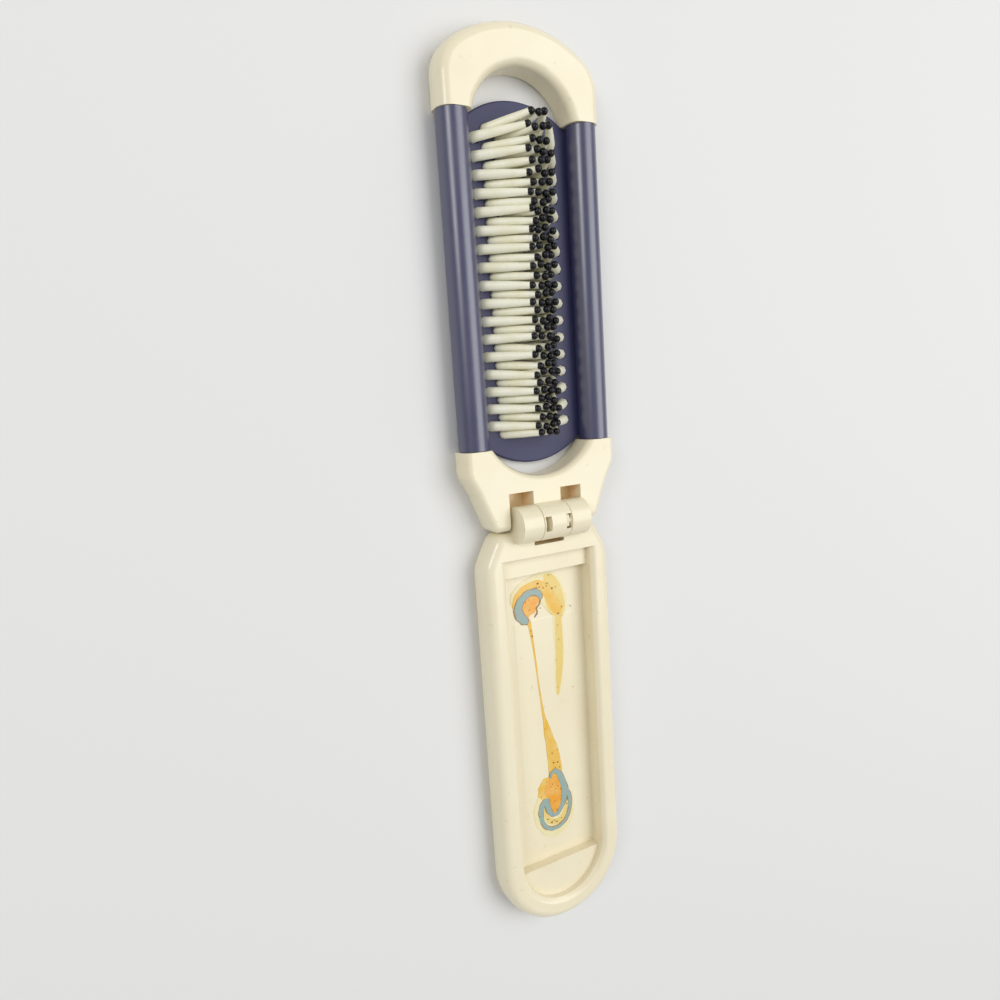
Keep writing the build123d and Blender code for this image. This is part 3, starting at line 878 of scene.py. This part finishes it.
# The layers of the dried glue, from the floor up. Each has its piece, its material, its colour
# and aged colour, the colour and share of its specks, its roughness, and then its runs: how a
# run is made, its name, its share of the glue's height, its points and how far a streak spreads.
GLUE = (
    ("glue_stain", "Glue stain", "stain", (0.86, 0.79, 0.54), "dirt", 0.1, 0.35, (
        (puddle, "stain_high", 0.36, (
            (-9.2, -20.6), (-8.8, -17.6), (-5.6, -14.8), (-1.0, -13.8), (2.6, -13.8),
            (4.7, -15.4), (6.1, -17.9), (7.0, -21.0), (6.9, -24.6), (5.8, -26.2), (3.2, -25.6),
            (1.0, -23.6), (-2, -19))),
        (puddle, "stain_low", 0.36, (
            (5.9, -75.0), (5.8, -79.4), (4.1, -82.9), (1.3, -84.4), (-1.1, -84.5),
            (-3.8, -82.6), (-5.8, -79.4), (-6.2, -75.4), (-4.9, -72.2), (-1, -70), (3, -70))),
        (streak, "drip_edge", 0.36, (
            (4.6, -23.0, 1.3), (4.0, -26.0, 1.4), (4.1, -30.4, 1.5), (4.2, -35.0, 1.5),
            (3.8, -39.6, 1.35), (3.3, -43.6, 1.1), (3.0, -46.6, 0.4))),
    )),
    ("glue_straw", "Straw glue", "straw", (0.78, 0.57, 0.14), "dirt", 0.5, 0.28, (
        (streak, "drip", 0.44, (
            (4.9, -22.4, 0.9), (4.2, -26.0, 1.0), (4.1, -30.4, 1.15), (4.1, -35.0, 1.15),
            (3.8, -39.6, 1.0), (3.3, -43.4, 0.8), (3.0, -46.2, 0.3))),
        (puddle, "dab_right", 0.5, (
            (0.6, -14.2), (2.6, -14.3), (4.2, -15.8), (5.5, -18.2), (6.2, -20.8), (6.4, -23.4),
            (5.4, -25.9), (3.7, -25.9), (2.0, -24.8), (1.0, -22.6), (0.4, -19.5))),
        (streak, "crescent", 0.5, (
            (3.9, -74.6, 0.5), (3.9, -77.4, 0.75), (2.5, -79.7, 0.9), (0.4, -80.5, 0.95),
            (-1.7, -79.6, 0.8), (-2.9, -77.2, 0.6), (-3.0, -75.6, 0.3))),
    )),
    ("glue_amber", "Amber glue", "amber", (0.83, 0.60, 0.20), "dirt", 0.9, 0.25, (
        (puddle, "dab_high", 0.62, (
            (-8.7, -20.4), (-8.0, -18.2), (-5.8, -16.2), (-3.2, -15.4), (-0.8, -15.4),
            (1.2, -16.2), (2.6, -17.9), (3.6, -19.9), (4.8, -21.6), (5.9, -23.4), (5.0, -25.4),
            (3.8, -25.4), (2.3, -23.8), (1.5, -21.6), (0.3, -19.6), (-1.6, -18.0),
            (-4.6, -18.0), (-6.6, -19.6), (-7.6, -22.4), (-8.3, -22.4))),
        (streak, "string", 0.5, (
            (-4.4, -25.0, 0.65), (-4.1, -26.6, 0.5), (-3.7, -29.3, 0.36), (-3.2, -33.6, 0.24),
            (-2.7, -40.0, 0.2), (-2.1, -46.2, 0.24), (-1.6, -50.6, 0.4), (-1.2, -52.6, 0.6))),
        (puddle, "wedge", 0.75, (
            (-1.9, -50.6), (-0.8, -51.4), (0.6, -55.8), (1.7, -59.0), (2.5, -62.4),
            (3.1, -66.0), (2.6, -68.4), (-1.1, -68.4), (-1.3, -62.0), (-1.5, -58.2),
            (-1.9, -54.5))),
        (puddle, "side_dab", 0.6, (
            (-0.8, -67.6), (-2.8, -67.4), (-4.5, -69.4), (-4.7, -71.8), (-3.4, -73.2),
            (-1.0, -73.2), (-0.2, -70.4))),
    )),
    ("glue_orange", "Orange glue", "orange", (0.84, 0.52, 0.16), "dirt", 0.9, 0.24, (
        (puddle, "core_high", 0.85, (
            (-6.9, -23.8), (-6.8, -21.2), (-5.6, -19.4), (-3.4, -18.4), (-1.2, -18.7),
            (-0.9, -20.4), (-1.9, -21.8), (-2.4, -23.4), (-3.6, -23.8), (-4.8, -24.9))),
        (puddle, "core_low", 0.85, (
            (-0.6, -67.6), (1.7, -67.6), (2.7, -70.0), (3.2, -72.6), (2.5, -75.2),
            (1.7, -77.6), (0.3, -78.9), (-1.2, -77.4), (-1.9, -74.8), (-1.8, -72.8),
            (-2.9, -71.9), (-2.4, -69.2))),
    )),
    ("glue_umber", "Umber glue and painted shadow", "umber_and_shadow", (0.48, 0.29, 0.10), "dirt", 0.6, 0.35, (
        # The rims, wider than the blue-grey rings and laid under them, are partly umber glue and
        # partly a painted shadow round their edges; the crack is real
        (streak, "rim_high", 0.92, RING_HIGH, 0.16),
        (streak, "rim_low", 0.92, RING_LOW, 0.13),
        (streak, "rim_outer", 0.86, RING_OUTER, 0.1),
        (streak, "crack", 0.92, (
            (-0.5, -20.2, 0.16), (-1.0, -21.6, 0.2), (-1.9, -22.4, 0.22), (-1.7, -23.6, 0.18),
            (-2.6, -24.6, 0.16))),
    )),
    ("glue_slate", "Blue-grey glue", "slate", (0.36, 0.40, 0.38), "soot", 0.4, 0.32, (
        (streak, "ring_high", 1.05, RING_HIGH),
        (streak, "ring_low", 1.05, RING_LOW),
        (streak, "ring_outer", 1.0, RING_OUTER),
    )),
)


class BRUSH_OT_glue(bpy.types.Operator):
    """Make the dried glue that held a mirror in the tray's pocket"""

    bl_idname = "brush.make_glue"
    bl_label = "Dried glue"

    def execute(self, context):
        c = colours()
        height = sizes().glue_height
        for piece, label, colour, aged, dirt, amount, roughness, runs in GLUE:
            made = [
                make(name, points, height * share, *spread)
                for make, name, share, points, *spread in runs]
            material = glue_material(
                label, getattr(c, colour), aged, getattr(c, dirt), amount, roughness)
            dress(join(made, piece), "handle", "cream_plastic", material)
        dress(dirt_specks(SPECKS), "handle", "cream_plastic", glue_material(
            "Glue dirt", c.dirt, (0.20, 0.11, 0.04), c.dirt, 0.0, 0.4))
        return {"FINISHED"}


# Stage


def plain_material(name, colour, roughness):
    material = bpy.data.materials.new(name)
    material.use_nodes = True
    fill(material.node_tree.nodes["Principled BSDF"], {
        "Base Color": (*colour, 1), "Roughness": roughness})
    return material


def soft_lamp(name, place, size, power):
    """A broad lamp that points at the middle of the brush."""
    lamp = bpy.data.lights.new(name, "AREA")
    lamp.shape = "RECTANGLE"
    lamp.size, lamp.size_y = size
    lamp.energy = power
    obj = bpy.data.objects.new(name, lamp)
    bpy.context.scene.collection.objects.link(obj)
    obj.location = place
    obj.rotation_euler = (-Vector(place)).to_track_quat("-Z", "Y").to_euler()


class BRUSH_OT_stage(bpy.types.Operator):
    """Set the floor, the lamps, the world and the camera"""

    bl_idname = "brush.make_stage"
    bl_label = "Stage"

    def execute(self, context):
        scene = context.scene
        scene.view_settings.view_transform = "Standard"
        pick_none()
        bpy.ops.mesh.primitive_plane_add(size=FLOOR_SIZE, location=(0, 0, 0))
        floor = context.active_object
        floor.name = "floor"
        settle(floor)
        paint(floor.data, plain_material("Pale floor", FLOOR_COLOUR, FLOOR_ROUGHNESS))
        world = bpy.data.worlds.new("Soft room")
        world.use_nodes = True
        fill(world.node_tree.nodes["Background"], {
            "Color": (1.0, 1.0, 1.0, 1), "Strength": ROOM_LIGHT})
        scene.world = world
        for lamp in LAMPS:
            soft_lamp(*lamp)
        right, ahead = CAMERA_RIGHT.normalized(), CAMERA_AHEAD.normalized()
        up = right.cross(ahead).normalized()
        data = bpy.data.cameras.new("camera")
        data.lens = LENS
        data.sensor_width = SENSOR_WIDTH
        data.clip_start = NEAREST_SEEN
        camera = bpy.data.objects.new("camera", data)
        scene.collection.objects.link(camera)
        turn = Matrix((right, up, -ahead)).transposed()
        camera.matrix_world = Matrix.Translation(EYE) @ turn.to_4x4()
        scene.camera = camera
        return {"FINISHED"}


class BRUSH_PT_panel(bpy.types.Panel):
    """Lists the sizes, the colours and the steps that dress the brush"""

    bl_idname = "BRUSH_PT_panel"
    bl_label = "Folding travel brush"
    bl_space_type = "VIEW_3D"
    bl_region_type = "UI"
    bl_category = "Brush"

    def draw(self, context):
        layout = self.layout
        for group in (context.scene.brush_sizes, context.scene.brush_colours):
            box = layout.box()
            for key in group.__annotations__:
                box.prop(group, key)
        for operator in OPERATORS:
            layout.operator(operator.bl_idname)


OPERATORS = (
    BRUSH_OT_stage,
    BRUSH_OT_frame,
    BRUSH_OT_plate,
    BRUSH_OT_pins,
    BRUSH_OT_yoke,
    BRUSH_OT_tray,
    BRUSH_OT_floor_panel,
    BRUSH_OT_glue,
)
CLASSES = (BrushSizes, BrushColours, *OPERATORS, BRUSH_PT_panel)


def register():
    for cls in CLASSES:
        bpy.utils.register_class(cls)
    bpy.types.Scene.brush_sizes = bpy.props.PointerProperty(type=BrushSizes)
    bpy.types.Scene.brush_colours = bpy.props.PointerProperty(type=BrushColours)


def unregister():
    del bpy.types.Scene.brush_colours
    del bpy.types.Scene.brush_sizes
    for cls in reversed(CLASSES):
        bpy.utils.unregister_class(cls)


def main():
    register()
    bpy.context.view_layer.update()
    bpy.ops.brush.make_stage()
    bpy.ops.brush.make_frame()
    bpy.ops.brush.make_plate()
    bpy.ops.brush.make_pins()
    bpy.ops.brush.make_yoke()
    bpy.ops.brush.make_tray()
    bpy.ops.brush.make_floor_panel()
    bpy.ops.brush.make_glue()


if __name__ == "__main__":
    main()
